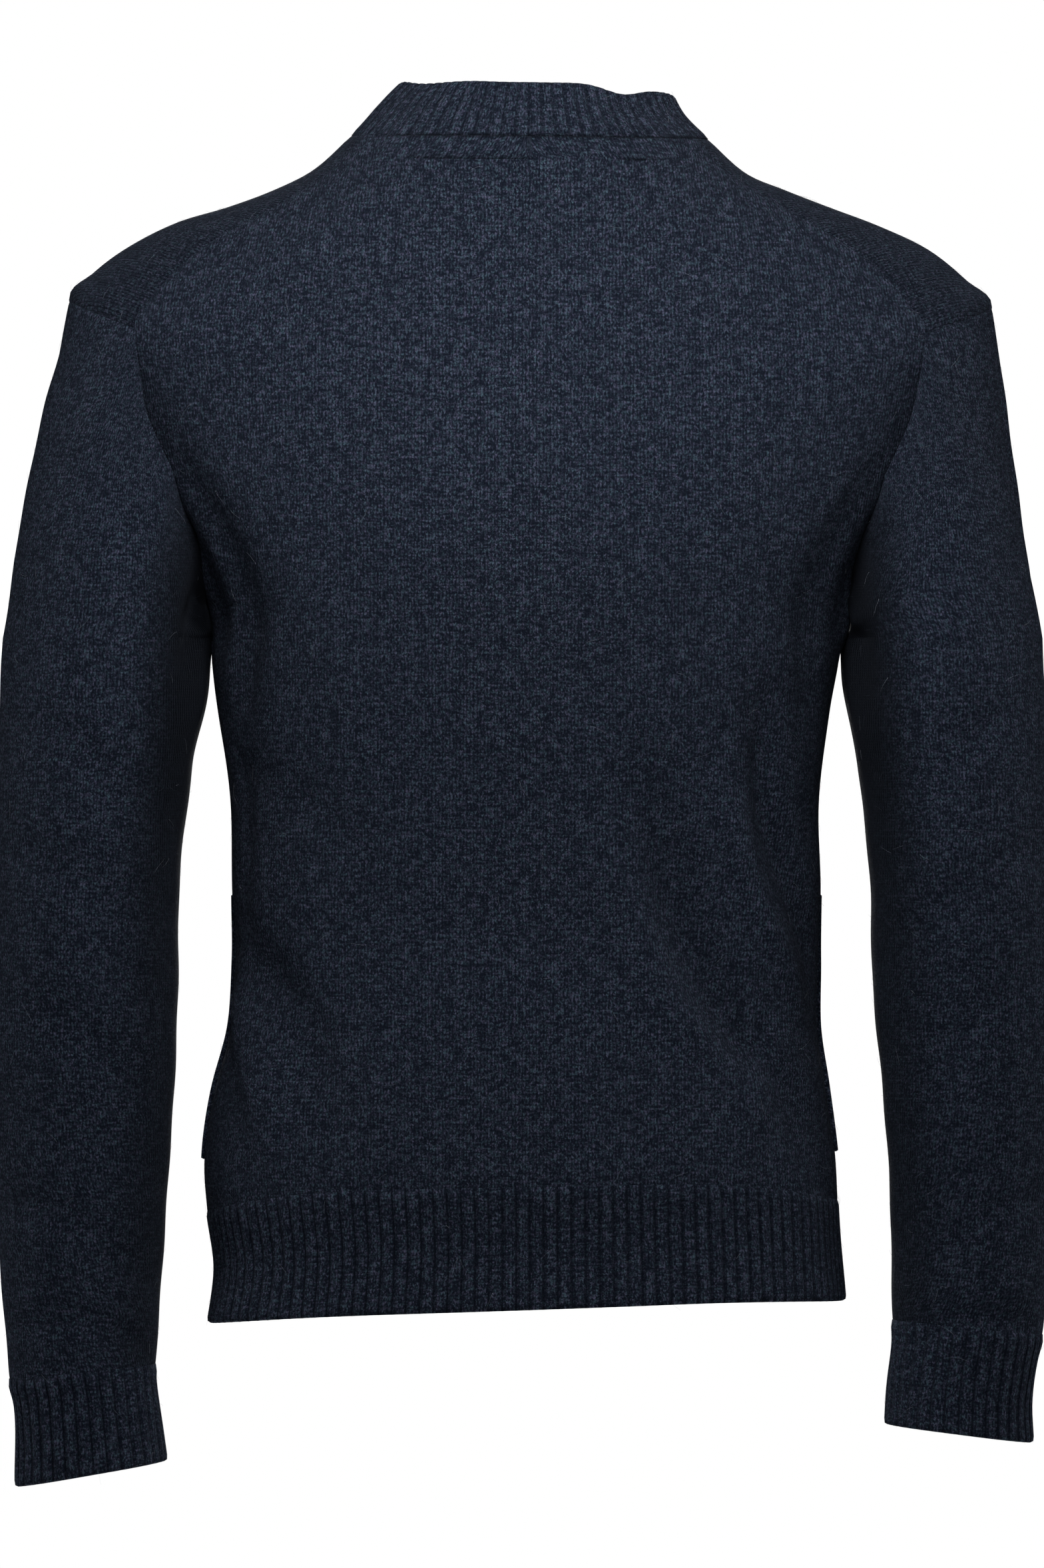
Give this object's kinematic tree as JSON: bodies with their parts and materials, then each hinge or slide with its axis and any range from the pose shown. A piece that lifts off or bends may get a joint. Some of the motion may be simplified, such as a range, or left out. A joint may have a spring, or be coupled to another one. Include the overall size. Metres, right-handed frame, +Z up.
{
  "type": "cardigan",
  "caption": "Round-neck wool knit cardigan with ribbed neckband, cuffs and hem, patch pockets and a buttoned front, shown filled out as when worn.",
  "frame": {"origin": "the middle of the neck at the height of the shoulder's highest point, where the wearer's shoulders carry the garment", "axes": "+Z up, the front opening faces -Y, the wearer's left is +X"},
  "size_m": [0.5794, 0.2528, 0.7595],
  "materials": {
    "wool": "felted wool knit, dark marled navy, very matt",
    "wool_rib": "rib-knit wool, dark marled navy, very matt",
    "horn": "dark turned button, satin"
  },
  "bodies": {
    "root": {"back": "wool", "front_left": "wool", "front_right": "wool", "sleeve_left": "wool", "sleeve_right": "wool", "neck_strip": "wool", "pocket_left": "wool", "pocket_right": "wool", "cuff_left": "wool_rib", "cuff_right": "wool_rib", "hem_back": "wool_rib", "hem_front_left": "wool_rib", "hem_front_right": "wool_rib", "neckband": "wool_rib", "button_band": "wool_rib", "buttonhole_band": "wool_rib", "button_1": "horn", "button_2": "horn", "button_3": "horn", "button_4": "horn", "button_5": "horn", "button_6": "horn", "button_7": "horn"}
  },
  "joints": []
}
